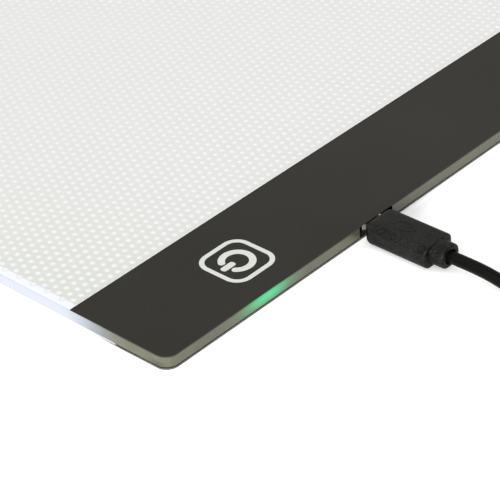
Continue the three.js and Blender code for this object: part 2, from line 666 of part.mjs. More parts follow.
function usbABody() {
  const [width, height, radius] = USB_A_SECTION;
  const start = USB_A_RELIEF_LENGTH;
  const end = USB_A_RELIEF_LENGTH + USB_A_BODY_LENGTH;
  const grip = layAlongX(loft([
    { at: 0, size: [5.4, 5.4, 2.6] },
    { at: start - 1, size: [6.6, 6.4, 2.9] },
    { at: start, size: [width - 4, height - 1, radius] },
    { at: start + 2.5, size: [width - 1, height, radius] },
    { at: start + 7, size: [width, height, radius] },
    { at: end - 0.6, size: [width, height, radius] },
    { at: end, size: [width - 0.8, height - 0.8, radius - 0.4] },
  ]), USB_A_START_X);
  const gap = 2 * AIR;
  const seat = box(usbASeatX, usbABodyEndX + 1,
    TAIL_Y - USB_A_SHELL[0] / 2 - gap, TAIL_Y + USB_A_SHELL[0] / 2 + gap,
    USB_A_Z - USB_A_SHELL[1] / 2 - gap, USB_A_Z + USB_A_SHELL[1] / 2 + gap);
  return cut(grip, [seat]);
}

function usbAShell() {
  const [width, height] = USB_A_SHELL;
  const tip = usbABodyEndX + USB_A_SHELL_LENGTH;
  const start = usbASeatX + 0.1;
  const outer = box(start, tip, TAIL_Y - width / 2, TAIL_Y + width / 2,
    USB_A_Z - height / 2, USB_A_Z + height / 2);
  const innerY = width / 2 - USB_A_WALL;
  const innerZ = height / 2 - USB_A_WALL;
  const hollow = box(start - 1, tip + 1, TAIL_Y - innerY, TAIL_Y + innerY,
    USB_A_Z - innerZ, USB_A_Z + innerZ);
  const windows = [-1, 1].map((side) => box(
    tip - 8.4, tip - 6, TAIL_Y + side * 2.5 - 1.1, TAIL_Y + side * 2.5 + 1.1,
    USB_A_Z - height, USB_A_Z + height,
  ));
  return cut(outer, [hollow, ...windows]);
}

// The insulator lies in one half of the shell and carries four contact strips.
function usbAInsert() {
  const innerY = USB_A_SHELL[0] / 2 - USB_A_WALL - AIR;
  const low = USB_A_Z - USB_A_SHELL[1] / 2 + USB_A_WALL + AIR;
  const start = usbASeatX + 0.15;
  const end = usbABodyEndX + USB_A_SHELL_LENGTH - 0.4;
  const block = box(start, end, TAIL_Y - innerY, TAIL_Y + innerY, low, low + 1.85);
  const strips = Array.from({ length: 4 }, (_, i) => {
    const y = TAIL_Y + (i - 1.5) * 2.3;
    return box(end - 9, end - 1.2, y - 0.5, y + 0.5, low + 1.5, low + 1.95);
  });
  return join([block, ...strips]);
}
add(lead, 'usb_a_body', usbABody(), 'cableBlack');
add(lead, 'usb_a_shell', usbAShell(), 'steel');
add(lead, 'usb_a_insert', usbAInsert(), 'contactCarrier');

export default lightBox;
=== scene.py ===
"""Looks of a thin A4 light box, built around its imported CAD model.

The light box is a clear acrylic light guide with a lattice of printed dots, a charcoal strip with
a touch mark along one short edge, and a micro USB lead that lies in a coil beside it. Everything is
in metres, in the frame of the CAD model: the strip lies along -Y and +Z points out of the lit face.
"""

import logging
import math
from dataclasses import dataclass
from enum import Enum

import bmesh
import bpy
from mathutils import Matrix, Vector


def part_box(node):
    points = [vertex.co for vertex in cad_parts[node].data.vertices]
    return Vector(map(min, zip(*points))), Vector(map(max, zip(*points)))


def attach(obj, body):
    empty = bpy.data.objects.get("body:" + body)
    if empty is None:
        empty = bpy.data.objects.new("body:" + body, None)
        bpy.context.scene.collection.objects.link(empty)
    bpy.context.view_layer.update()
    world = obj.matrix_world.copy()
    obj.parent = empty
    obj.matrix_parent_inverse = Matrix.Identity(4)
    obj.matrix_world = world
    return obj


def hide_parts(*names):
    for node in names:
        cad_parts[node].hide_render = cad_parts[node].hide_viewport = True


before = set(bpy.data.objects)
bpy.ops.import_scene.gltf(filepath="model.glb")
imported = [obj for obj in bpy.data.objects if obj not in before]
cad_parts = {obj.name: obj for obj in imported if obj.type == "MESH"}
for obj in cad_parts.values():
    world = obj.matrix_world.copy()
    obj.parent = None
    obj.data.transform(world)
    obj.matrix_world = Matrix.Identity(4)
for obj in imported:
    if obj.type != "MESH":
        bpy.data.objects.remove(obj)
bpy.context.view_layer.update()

LOG = logging.getLogger("light_box")
MM = 0.001
MERGE_DISTANCE = 1e-7
DOT_CORE = "core"

Point = tuple[float, float, float]
Colour = tuple[float, float, float]
Span = tuple[float, float]
Socket = bpy.types.NodeSocket
Material = bpy.types.Material
Piece = bpy.types.Object


class Body(Enum):
    """The two bodies that the light box's joint moves against each other."""

    PAD = "pad"
    LEAD = "lead"


class Slot(Enum):
    """Names of the record's material slots; nothing in this script uses them."""

    ACRYLIC = "acrylic"
    WHITE_PRINT = "white_print"
    RUBBER = "rubber"
    CABLE = "cable_black"


class Zone(Enum):
    """The two kinds of surface that a light guide has, by material index."""

    POLISHED = 0
    CUT_EDGE = 1


# ---------------------------------------------------------------- node sketching


class NodeKit:
    """Short ways to add nodes to a tree and join them."""

    def __init__(self, tree: bpy.types.NodeTree) -> None:
        """Takes the tree that the nodes go into."""
        self.tree = tree

    def link(self, source: Socket, target: Socket) -> None:
        """Joins an output to an input."""
        self.tree.links.new(source, target)

    def feed(self, target: Socket, value: object) -> None:
        """Links an output to a socket, or sets the socket to a plain value.

        Args:
            target: the socket.
            value: an output, or a plain value.
        """
        if isinstance(value, Socket):
            self.link(value, target)
        else:
            target.default_value = value

    def add(self, kind: str, **inputs: object) -> bpy.types.Node:
        """Adds a node and feeds its inputs.

        Args:
            kind: the node's type.
            inputs: an output or a plain value for each input, with _ for each space in its name.

        Returns:
            The node.
        """
        node = self.tree.nodes.new(kind)
        for name, value in inputs.items():
            self.feed(node.inputs[name.replace("_", " ")], value)
        return node

    def math(
        self, operation: str, first: object, second: object = 0.0, clamp: bool = False
    ) -> Socket:
        """Adds a Math node.

        Args:
            operation: the node's operation.
            first: an output or a number.
            second: an output or a number.
            clamp: whether the result stays from 0 to 1.

        Returns:
            The node's output.
        """
        node = self.tree.nodes.new("ShaderNodeMath")
        node.operation = operation
        node.use_clamp = clamp
        self.feed(node.inputs[0], first)
        self.feed(node.inputs[1], second)
        return node.outputs[0]


class Sketch(NodeKit):
    """A material with one Principled shader, and short ways to draw patterns for it."""

    def __init__(self, name: str, **sockets: object) -> None:
        """Starts a material.

        Args:
            name: the material's name.
            sockets: values for the Principled shader, with _ for each space in a socket's name.
        """
        self.material = bpy.data.materials.new(name)
        self.material.use_nodes = True
        super().__init__(self.material.node_tree)
        self.shader = self.tree.nodes["Principled BSDF"]
        for socket, value in sockets.items():
            self.shader.inputs[socket.replace("_", " ")].default_value = value
        self.place = self.add("ShaderNodeTexCoord").outputs["Object"]

    def drive(self, socket: str, source: Socket) -> None:
        """Feeds one of the Principled shader's sockets from an output."""
        self.link(source, self.shader.inputs[socket])

    def product(self, *factors: object) -> Socket:
        """Multiplies patterns together.

        Args:
            factors: outputs or numbers.

        Returns:
            The product.
        """
        result, *others = factors
        for other in others:
            result = self.math("MULTIPLY", result, other)
        return result

    def total(self, *terms: tuple[Socket, float]) -> Socket:
        """Adds patterns up, each times its own weight.

        Args:
            terms: pairs of a pattern and its weight.

        Returns:
            The sum.
        """
        result, *others = [self.product(pattern, weight) for pattern, weight in terms]
        for other in others:
            result = self.math("ADD", result, other)
        return result

    def shifted(self, pattern: Socket, weight: float, start: float) -> Socket:
        """Returns a pattern times a weight, on top of a starting value."""
        return self.math("ADD", self.product(pattern, weight), start)

    def rest_of(self, pattern: Socket) -> Socket:
        """Returns 1 less a pattern."""
        return self.math("SUBTRACT", 1.0, pattern)

    def axis(self, name: str) -> Socket:
        """Returns one coordinate, X, Y or Z, of the place on the object."""
        return self.add("ShaderNodeSeparateXYZ", Vector=self.place).outputs[name]

    def cut_edge(self, steepness: float = 0.5) -> Socket:
        """Finds the upright surface round a flat sheet.

        Args:
            steepness: how far a surface may lean out before it counts as a face.

        Returns:
            1 on the upright surface, and 0 on the sheet's faces.
        """
        normal = self.add("ShaderNodeNewGeometry").outputs["True Normal"]
        level = self.add("ShaderNodeSeparateXYZ", Vector=normal).outputs["Z"]
        return self.math("LESS_THAN", self.math("ABSOLUTE", level), steepness)

    def ramp(self, value: Socket, low: float, high: float) -> Socket:
        """Draws a smooth step.

        Args:
            value: what it follows.
            low: below this it is 0.
            high: above this it is 1.

        Returns:
            The step.
        """
        node = self.add("ShaderNodeMapRange", Value=value, From_Min=low, From_Max=high)
        node.interpolation_type = "SMOOTHSTEP"
        return node.outputs["Result"]

    def bell(self, value: Socket, centre: float, width: float) -> Socket:
        """Draws a bell curve.

        Args:
            value: what it follows.
            centre: where it is 1.
            width: how far from there it has fallen to 0.6.

        Returns:
            The curve.
        """
        offset = self.math("DIVIDE", self.math("SUBTRACT", value, centre), width)
        return self.math("POWER", math.e, self.product(offset, offset, -0.5))

    def stretched(self, scale: Point) -> Socket:
        """Returns the place on the object scaled along each axis."""
        return self.add("ShaderNodeMapping", Scale=scale, Vector=self.place).outputs[0]

    def noise(self, scale: float, detail: float = 3.0, at: Socket | None = None) -> Socket:
        """Draws a noise pattern.

        Args:
            scale: how many times the pattern repeats in a metre.
            detail: how many finer octaves it has.
            at: where it is read, which is the place on the object by default.

        Returns:
            The pattern, from 0 to 1.
        """
        node = self.add("ShaderNodeTexNoise", Scale=scale, Detail=detail, Vector=at or self.place)
        return node.outputs["Fac"]

    def streaks(self, scale: Point, detail: float = 4.0) -> Socket:
        """Returns a noise pattern with its own scale along each axis."""
        return self.noise(1.0, detail, self.stretched(scale))

    def blend(self, share: Socket, first: object, second: object) -> Socket:
        """Mixes two colours.

        Args:
            share: 0 for the first and 1 for the second.
            first: a colour or an output.
            second: a colour or an output.

        Returns:
            The mixed colour.
        """
        node = self.add("ShaderNodeMix")
        node.data_type = "RGBA"
        for number, value in ((0, share), (6, rgba(first)), (7, rgba(second))):
            self.feed(node.inputs[number], value)
        return node.outputs[2]

    def paint(self, share: Socket, first: object, second: object) -> None:
        """Colours the surface with a blend of two colours."""
        self.drive("Base Color", self.blend(share, first, second))

    def bump(self, height: Socket, strength: float, distance: float) -> None:
        """Presses a height pattern into the surface.

        Args:
            height: the pattern.
            strength: how strongly it shows, from 0 to 1.
            distance: how high it is, in metres.
        """
        node = self.add("ShaderNodeBump", Strength=strength, Distance=distance, Height=height)
        self.drive("Normal", node.outputs["Normal"])


def rgba(value: object) -> object:
    """Gives a plain colour its fourth number, and passes an output through."""
    return value if isinstance(value, Socket) else (*value, 1.0)


# ---------------------------------------------------------------- finishes


def edge_light(sketch: Sketch, slot_y: float) -> Socket:
    """Draws how far the light has come up along the pad's edge.

    Args:
        sketch: the material.
        slot_y: where the LED slot ends.

    Returns:
        0 in front of the slot, rising to 1 behind it.
    """
    return sketch.ramp(sketch.axis("Y"), slot_y - 3 * MM, slot_y + 23 * MM)


@dataclass(frozen=True)
class MattFilm:
    """Screen-printed charcoal PET film: a flat, faintly mottled ink with a fine tooth, painted
    paler towards +X as painted light.
    """

    name: str = "matt_film"
    ink: Colour = (0.0185, 0.0172, 0.0136)
    pale_ink: Colour = (0.0320, 0.0298, 0.0250)
    contrast: Span = (0.34, 0.8)
    roughness: float = 0.58
    gloss: float = 0.08
    cloud_scale: float = 26.0
    tooth_scale: float = 2800.0
    tooth_depth: float = 0.02 * MM
    # Painted light: the film grows paler towards +X over this span.
    painted_light_towards_x: Span = (-0.125, 0.06)

    def material(self) -> Material:
        """Mixes the film's material.

        Returns:
            The material.
        """
        sketch = Sketch(self.name, Specular_IOR_Level=self.gloss)
        cloud = sketch.noise(self.cloud_scale, 4.0)
        tooth = sketch.noise(self.tooth_scale, 2.0)
        # Painted light: paler towards +X.
        painted_light_drift = sketch.ramp(sketch.axis("X"), *self.painted_light_towards_x)
        share = sketch.total((cloud, 0.2), (tooth, 0.8), (painted_light_drift, 0.14))
        sketch.paint(sketch.ramp(share, *self.contrast), self.ink, self.pale_ink)
        sketch.drive("Roughness", sketch.shifted(tooth, 0.16, self.roughness))
        sketch.bump(tooth, 0.3, self.tooth_depth)
        return sketch.material


@dataclass(frozen=True)
class PrintInk:
    """Off-white printing ink, with the slight grain of a printing screen."""

    name: str = "print_ink"
    ink: Colour = (0.55, 0.565, 0.53)
    thin_ink: Colour = (0.47, 0.485, 0.45)
    contrast: Span = (0.35, 0.65)
    mesh_scale: float = 4200.0
    mesh_depth: float = 0.01 * MM

    def material(self) -> Material:
        """Mixes the ink's material.

        Returns:
            The material.
        """
        sketch = Sketch(self.name, Roughness=0.55, Specular_IOR_Level=0.3)
        grain = sketch.noise(self.mesh_scale, 2.0)
        sketch.paint(sketch.ramp(grain, *self.contrast), self.ink, self.thin_ink)
        sketch.bump(grain, 0.2, self.mesh_depth)
        return sketch.material


@dataclass(frozen=True)
class PolishedAcrylic:
    """Clear cast acrylic with a faint waviness from its casting."""

    name: str = "polished_acrylic"
    tint: Colour = (0.985, 0.99, 0.98)
    deep_tint: Colour = (0.975, 0.985, 0.972)
    refraction: float = 1.49
    wave_scale: float = 14.0
    wave_depth: float = 0.4 * MM

    def material(self) -> Material:
        """Mixes the clear faces' material.

        Returns:
            The material.
        """
        sketch = Sketch(self.name, Roughness=0.02, IOR=self.refraction, Transmission_Weight=1.0)
        wave = sketch.noise(self.wave_scale, 2.0)
        sketch.paint(wave, self.tint, self.deep_tint)
        sketch.bump(wave, 0.05, self.wave_depth)
        return sketch.material


@dataclass(frozen=True)
class CutEdge:
    """The guide's sawn edge: hazy olive grey round the strip, glowing white round the lit sheet.

    A green glow shows in the front edge at the indicator. Painted shade darkens the front face and
    bands along the top and bottom of the edge, and a painted dark patch near each front corner
    stands for the strip's corner seen refracted through the acrylic.
    """

    glow_x: float
    front_y: float
    low_z: float
    high_z: float
    slot_y: float
    name: str = "cut_edge"
    haze: Colour = (0.080, 0.080, 0.050)
    # The colour that the painted shade, the saw streaks and the blotches push the edge towards.
    dark_haze: Colour = (0.034, 0.034, 0.022)
    lit_haze: Colour = (0.055, 0.060, 0.075)
    glow: Colour = (0.0, 0.60, 0.22)
    glow_width: float = 5.6 * MM
    near_light: Colour = (0.64, 0.78, 1.0)
    far_light: Colour = (0.86, 0.92, 1.0)
    strength: float = 0.68
    front_reach: float = 0.6 * MM
    # Where the painted dark corner patch lies and how wide it is.
    corner_shade_in: float = 4.2 * MM
    corner_shade_width: float = 1.6 * MM
    saw_scale: Point = (240.0, 240.0, 60.0)
    saw_depth: float = 0.08 * MM

    def band(self, sketch: Sketch, share: float, width: float) -> Socket:
        """Returns a band along the edge, placed and sized in shares of the guide's thickness."""
        height = self.high_z - self.low_z
        return sketch.bell(sketch.axis("Z"), self.low_z + height * share, height * width)

    def material(self) -> Material:
        """Mixes the edge's material.

        Returns:
            The material.
        """
        sketch = Sketch(self.name, IOR=1.49)
        x, y = sketch.axis("X"), sketch.axis("Y")
        # Painted shade: dark bands along the bottom and the top of the edge.
        low_band, high_band = self.band(sketch, -0.04, 0.05), self.band(sketch, 1.0, 0.06)
        bands = sketch.math("ADD", low_band, high_band, clamp=True)
        streaks = sketch.streaks(self.saw_scale)
        blotch = sketch.ramp(sketch.noise(95.0, 2.0), 0.52, 0.72)
        front = sketch.math("LESS_THAN", y, self.front_y + self.front_reach)
        spread = sketch.bell(x, self.glow_x, self.glow_width)
        green = sketch.product(spread, self.band(sketch, 0.65, 0.42), front)
        # Painted shade: a dark patch low on the sides near each front corner, for the strip's
        # corner seen refracted through the acrylic.
        corner_shade_y = sketch.bell(y, self.front_y + self.corner_shade_in, self.corner_shade_width)
        foot = sketch.product(corner_shade_y, self.band(sketch, 0.2, 0.22))
        # The bands are painted shade and the streaks are saw marks.
        share = sketch.total((bands, 0.85), (streaks, 0.25))
        # The blotches are random mottling, the front face and the corner patch are painted shade,
        # and the base darkens under the green glow.
        shade = sketch.total((blotch, 0.22), (front, 0.16), (green, 0.7), (foot, 0.9))
        share = sketch.math("ADD", share, shade, clamp=True)
        lit = edge_light(sketch, self.slot_y)
        sketch.paint(lit, sketch.blend(share, self.haze, self.dark_haze), self.lit_haze)
        light = sketch.blend(lit, self.near_light, self.far_light)
        sketch.drive("Emission Color", sketch.blend(front, light, self.glow))
        leak = sketch.total((lit, self.strength), (streaks, 0.01))
        leak = sketch.product(leak, sketch.rest_of(front))
        sketch.drive("Emission Strength", sketch.math("ADD", leak, green))
        sketch.drive("Roughness", sketch.shifted(streaks, 0.2, 0.14))
        sketch.bump(streaks, 0.25, self.saw_depth)
        return sketch.material


@dataclass(frozen=True)
class LitSheet:
    """The reflector under the dots, which sends the guide's light up.

    It is warmer near one corner and bluer at its rims. Its cut edge is painted dark round the strip
    as painted shade, and lit behind it.
    """

    left_x: float
    strip_y: float
    slot_y: float
    back_y: float
    name: str = "lit_sheet"
    body_colour: Colour = (0.34, 0.34, 0.335)
    fibre_colour: Colour = (0.30, 0.30, 0.295)
    # Painted shade on the cut edge round the strip.
    painted_shade_edge: Colour = (0.075, 0.076, 0.058)
    light: Colour = (1.0, 0.995, 0.985)
    rim_light: Colour = (0.93, 0.965, 1.17)
    corner_light: Colour = (0.89, 0.90, 0.83)
    strength: float = 0.53
    rim: Span = (4.83 * MM, 3.78 * MM)
    bar: Span = (0.4 * MM, 2.6 * MM)
    corner: Span = (30 * MM, 50 * MM)
    cloud_scale: float = 30.0
    fibre_scale: float = 1600.0
    fibre_depth: float = 0.02 * MM

    def brighter_rim(self, sketch: Sketch) -> Socket:
        """Draws the bright rim at the sheet's sides and back and next to the LED bar.

        Args:
            sketch: the material.

        Returns:
            The pattern, 1 in the rim.
        """
        y = sketch.axis("Y")
        outward = sketch.math("ABSOLUTE", sketch.axis("X"))
        side = sketch.ramp(outward, *(-self.left_x - inset for inset in self.rim))
        back = sketch.ramp(y, *(self.back_y - inset for inset in self.rim))
        bar = sketch.rest_of(sketch.ramp(y, *(self.strip_y + inset for inset in self.bar)))
        sides = sketch.math("MAXIMUM", side, back)
        return sketch.math("MAXIMUM", sides, sketch.product(bar, 0.9))

    def material(self) -> Material:
        """Mixes the sheet's material.

        Returns:
            The material.
        """
        sketch = Sketch(self.name, Roughness=0.6)
        corner_x = sketch.bell(sketch.axis("X"), self.left_x, self.corner[0])
        corner_y = sketch.bell(sketch.axis("Y"), self.strip_y, self.corner[1])
        rim = self.brighter_rim(sketch)
        cloud = sketch.noise(self.cloud_scale, 3.0)
        fibre = sketch.noise(self.fibre_scale, 2.0)
        face_light = sketch.blend(sketch.product(corner_x, corner_y), self.light, self.corner_light)
        sketch.drive("Emission Color", sketch.blend(rim, face_light, self.rim_light))
        level = sketch.shifted(rim, 0.24, self.strength)
        level = sketch.math("ADD", level, sketch.product(cloud, 0.02))
        face = sketch.rest_of(sketch.cut_edge())
        lit = sketch.math("MAXIMUM", edge_light(sketch, self.slot_y), face)
        sketch.drive("Emission Strength", sketch.product(level, lit))
        body = sketch.blend(fibre, self.body_colour, self.fibre_colour)
        # The cut edge round the strip is painted dark as painted shade.
        sketch.paint(lit, self.painted_shade_edge, body)
        sketch.bump(fibre, 0.2, self.fibre_depth)
        return sketch.material


@dataclass(frozen=True)
class DotInk:
    """White ink of the printed dots: brightest at each dot's middle and next to the LED bar."""

    strip_y: float
    name: str = "dot_ink"
    ink: Colour = (0.34, 0.34, 0.335)
    thin_ink: Colour = (0.31, 0.31, 0.305)
    light: Colour = (1.0, 0.998, 0.985)
    rim_strength: float = 0.54
    core_strength: float = 0.20
    core_edge: float = 0.85
    fade: float = 0.45
    fade_length: float = 160 * MM
    grain_scale: float = 2600.0

    def material(self) -> Material:
        """Mixes the ink's material.

        Returns:
            The material.
        """
        sketch = Sketch(self.name, Roughness=0.6)
        core = sketch.add("ShaderNodeAttribute")
        core.attribute_name = DOT_CORE
        far = sketch.ramp(sketch.axis("Y"), self.strip_y, self.strip_y + self.fade_length)
        near = sketch.rest_of(sketch.product(far, self.fade))
        peak = sketch.product(sketch.ramp(core.outputs["Fac"], 0.0, self.core_edge), near)
        grain = sketch.noise(self.grain_scale, 2.0)
        sketch.paint(grain, self.ink, self.thin_ink)
        sketch.shader.inputs["Emission Color"].default_value = rgba(self.light)
        level = sketch.shifted(peak, self.core_strength, self.rim_strength)
        sketch.drive("Emission Strength", sketch.math("ADD", level, sketch.product(grain, 0.01)))
        return sketch.material


@dataclass(frozen=True)
class MouldedPvc:
    """Matt black PVC of the plugs and the cord, with the spark-eroded texture of the mould."""

    name: str = "moulded_pvc"
    colour: Colour = (0.0014, 0.0015, 0.0012)
    pale: Colour = (0.0150, 0.0154, 0.0128)
    contrast: Span = (0.385, 0.645)
    roughness: float = 0.32
    smear_scale: float = 160.0
    texture_scale: float = 2250.0
    depth: float = 0.12 * MM
    gloss: float = 0.09

    def material(self) -> Material:
        """Mixes the moulding's material.

        Returns:
            The material.
        """
        sketch = Sketch(self.name, Specular_IOR_Level=self.gloss)
        pits = sketch.noise(self.texture_scale, 3.0)
        smear = sketch.noise(self.smear_scale, 4.0)
        share = sketch.total((pits, 0.7), (smear, 0.3))
        sketch.paint(sketch.ramp(share, *self.contrast), self.colour, self.pale)
        sketch.drive("Roughness", sketch.shifted(smear, 0.22, self.roughness))
        sketch.bump(pits, 0.5, self.depth)
        return sketch.material


@dataclass(frozen=True)
class PlatedSteel:
    """Nickel-plated pressed steel with fine rolling lines."""

    name: str = "plated_steel"
    colour: Colour = (0.62, 0.62, 0.615)
    dull_colour: Colour = (0.52, 0.52, 0.51)
    roughness: float = 0.16
    cloud_scale: float = 420.0
    line_scale: Point = (260.0, 9000.0, 9000.0)
    line_depth: float = 0.008 * MM

    def material(self) -> Material:
        """Mixes the plating's material.

        Returns:
            The material.
        """
        sketch = Sketch(self.name, Metallic=1.0)
        lines = sketch.streaks(self.line_scale, 3.0)
        sketch.paint(sketch.noise(self.cloud_scale, 3.0), self.colour, self.dull_colour)
        sketch.drive("Roughness", sketch.shifted(lines, 0.2, self.roughness))
        sketch.bump(lines, 0.2, self.line_depth)
        return sketch.material


@dataclass(frozen=True)
class PlainSheet:
    """White PVC sheet of the back, with a fine emboss and faint handling marks.

    Its cut edge is painted dark round the strip as painted shade, and glows behind it as painted
    light from the guide.
    """

    slot_y: float
    name: str = "plain_sheet"
    colour: Colour = (0.80, 0.80, 0.785)
    shade: Colour = (0.73, 0.73, 0.71)
    # Painted shade on the cut edge round the strip.
    painted_shade_edge: Colour = (0.060, 0.061, 0.048)
    # Painted light: the glow on the cut edge behind the slot.
    edge_light: Colour = (0.93, 0.97, 1.0)
    edge_strength: float = 0.25
    cloud_scale: float = 9.0
    scuff_scale: Point = (24.0, 180.0, 24.0)
    emboss_scale: float = 2600.0
    emboss_depth: float = 0.03 * MM

    def material(self) -> Material:
        """Mixes the sheet's material.

        Returns:
            The material.
        """
        sketch = Sketch(self.name, Specular_IOR_Level=0.35)
        emboss = sketch.noise(self.emboss_scale, 2.0)
        scuff = sketch.streaks(self.scuff_scale)
        cloud = sketch.ramp(sketch.noise(self.cloud_scale, 5.0), 0.45, 0.75)
        share = sketch.product(cloud, sketch.ramp(scuff, 0.5, 0.8))
        edge = sketch.cut_edge()
        lit = edge_light(sketch, self.slot_y)
        # The cut edge round the strip is painted dark as painted shade, and glows behind it as
        # painted light from the guide.
        dark = sketch.product(edge, sketch.rest_of(lit))
        sketch.paint(dark, sketch.blend(share, self.colour, self.shade), self.painted_shade_edge)
        sketch.shader.inputs["Emission Color"].default_value = rgba(self.edge_light)
        sketch.drive("Emission Strength", sketch.product(edge, lit, self.edge_strength))
        sketch.drive("Roughness", sketch.shifted(scuff, 0.2, 0.42))
        sketch.bump(emboss, 0.35, self.emboss_depth)
        return sketch.material


@dataclass(frozen=True)
class SoftRubber:
    """Black rubber of the feet, dusted a little paler where it has been handled."""

    name: str = "soft_rubber"
    colour: Colour = (0.018, 0.018, 0.0175)
    dust: Colour = (0.048, 0.047, 0.045)
    dust_scale: float = 700.0
    pore_scale: float = 6000.0
    pore_depth: float = 0.04 * MM

    def material(self) -> Material:
        """Mixes the rubber's material.

        Returns:
            The material.
        """
        sketch = Sketch(self.name, Roughness=0.8, Specular_IOR_Level=0.3, Sheen_Weight=0.2)
        cloud = sketch.noise(self.dust_scale, 4.0)
        sketch.paint(sketch.ramp(cloud, 0.4, 0.75), self.colour, self.dust)
        sketch.bump(sketch.noise(self.pore_scale, 2.0), 0.5, self.pore_depth)
        return sketch.material


@dataclass(frozen=True)
class CircuitMask:
    """Green solder mask over fine copper tracks."""

    name: str = "circuit_mask"
    mask: Colour = (0.012, 0.11, 0.045)
    track: Colour = (0.03, 0.19, 0.08)
    track_scale: float = 160.0
    track_bend: float = 3.0
    track_height: float = 0.03 * MM

    def material(self) -> Material:
        """Mixes the board's material.

        Returns:
            The material.
        """
        sketch = Sketch(self.name, Roughness=0.35, Coat_Weight=0.3)
        waves = sketch.add(
            "ShaderNodeTexWave", Scale=self.track_scale, Distortion=self.track_bend,
            Vector=sketch.place,
        )
        waves.bands_direction = "X"
        tracks = sketch.ramp(waves.outputs["Fac"], 0.72, 0.82)
        sketch.paint(tracks, self.mask, self.track)
        sketch.bump(tracks, 0.3, self.track_height)
        return sketch.material


@dataclass(frozen=True)
class FleckedPart:
    """A small moulded, fired or foamed part: one colour flecked with another, and its own grain."""

    name: str
    colour: Colour
    fleck: Colour
    grain: float
    roughness: float = 0.5
    light: float = 0.0
    grain_depth: float = 0.02 * MM

    def material(self) -> Material:
        """Mixes the part's material.

        Returns:
            The material.
        """
        sketch = Sketch(self.name, Roughness=self.roughness)
        flecks = sketch.noise(self.grain, 3.0)
        colour = sketch.blend(sketch.ramp(flecks, 0.4, 0.65), self.colour, self.fleck)
        sketch.drive("Base Color", colour)
        if self.light > 0:
            sketch.drive("Emission Color", colour)
            sketch.shader.inputs["Emission Strength"].default_value = self.light
        sketch.bump(flecks, 0.3, self.grain_depth)
        return sketch.material


# ---------------------------------------------------------------- mesh helpers


def mesh_piece(name: str, build: bmesh.types.BMesh, smooth: bool = True) -> Piece:
    """Makes an object at the origin from a bmesh, and frees the bmesh.

    Args:
        name: the piece's name.
        build: its faces, in place.
        smooth: whether its faces are shaded smooth.

    Returns:
        The new object.
    """
    bmesh.ops.recalc_face_normals(build, faces=build.faces[:])
    mesh = bpy.data.meshes.new(name)
    build.to_mesh(mesh)
    build.free()
    for polygon in mesh.polygons:
        polygon.use_smooth = smooth
    return placed(name, mesh)


def placed(name: str, data: bpy.types.ID) -> Piece:
    """Puts a mesh, curve, lamp or camera in the scene as an object at the origin.

    Args:
        name: the object's name.
        data: the mesh, curve, lamp or camera.

    Returns:
        The new object.
    """
    piece = bpy.data.objects.new(name, data)
    bpy.context.scene.collection.objects.link(piece)
    return piece


def finish_piece(piece: Piece, body: Body, material: Material | None) -> None:
    """Dresses a piece and lets it ride on its body.

    Args:
        piece: the piece.
        body: the body that it moves with.
        material: its finish, or None where its mesh already has materials.
    """
    if material is not None:
        piece.data.materials.clear()
        piece.data.materials.append(material)
    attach(piece, body.value)
    LOG.info("made %s on %s", piece.name, body.value)


def dress_node(node: str, material: Material) -> None:
    """Gives a CAD node its finish.

    Args:
        node: the node's name.
        material: the finish.
    """
    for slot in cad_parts[node].material_slots:
        slot.material = material
    LOG.info("dressed %s", node)


def smooth_by_angle(piece: Piece, degrees: float = 40.0) -> None:
    """Keeps a piece's sharp corners sharp while its round faces stay smooth.

    Args:
        piece: the piece.
        degrees: the angle from which a corner counts as sharp.
    """
    build = bmesh.new()
    build.from_mesh(piece.data)
    for edge in build.edges:
        edge.smooth = edge.calc_face_angle(0.0) < math.radians(degrees)
    build.to_mesh(piece.data)
    build.free()


@dataclass(frozen=True)
class Section:
    """A round-cornered rectangle across a moulding, at a distance along it."""

    at: float
    width: float
    height: float
    radius: float

    def ring(self, steps: int) -> list[Span]:
        """Draws the outline.

        Args:
            steps: how many steps each round corner has.

        Returns:
            The outline's points.
        """
        points, radius = [], self.radius
        for quarter, (sx, sy) in enumerate(((1, 1), (-1, 1), (-1, -1), (1, -1))):
            cx = sx * (self.width / 2 - radius)
            cy = sy * (self.height / 2 - radius)
            for step in range(steps + 1):
                angle = (quarter + step / steps) * math.pi / 2
                points.append((cx + radius * math.cos(angle), cy + radius * math.sin(angle)))
        return points

    def inset(self, at: float, width: float, height: float, radius: float) -> "Section":
        """Makes a smaller section of the same moulding.

        Args:
            at: where it is along the moulding.
            width: how much narrower it is.
            height: how much lower it is.
            radius: how much smaller its corners are.

        Returns:
            The section.
        """
        return Section(at, self.width - width, self.height - height, self.radius - radius)


def eased(start: Section, end: Section, steps: int = 6) -> list[Section]:
    """Returns sections on a quarter-round fillet from start to end.

    Args:
        start: the section where the fillet begins, level with the side.
        end: the section where it ends, level with the end face.
        steps: how many sections the fillet has.

    Returns:
        The sections, both ends among them.
    """
    sections = []
    for step in range(steps + 1):
        angle = step / steps * math.pi / 2
        along, across = math.sin(angle), 1 - math.cos(angle)
        values = [
            start.width + (end.width - start.width) * across,
            start.height + (end.height - start.height) * across,
            start.radius + (end.radius - start.radius) * across,
        ]
        sections.append(Section(start.at + (end.at - start.at) * along, *values))
    return sections


def loft(sections: list[Section], place: Matrix, steps: int) -> bmesh.types.BMesh:
    """Builds a closed skin through sections.

    Args:
        sections: the sections in order, in metres.
        place: where the skin goes; sections grow along its Z.
        steps: how many steps each round corner has.

    Returns:
        The skin as a bmesh.
    """
    build = bmesh.new()
    rings = []
    for section in sections:
        points = [place @ Vector((x, y, section.at)) for x, y in section.ring(steps)]
        rings.append([build.verts.new(point) for point in points])
    for lower, upper in zip(rings, rings[1:]):
        for i, j in wrapped(len(lower)):
            build.faces.new((lower[i], lower[j], upper[j], upper[i]))
    build.faces.new(rings[0][::-1])
    build.faces.new(rings[-1])
    return build


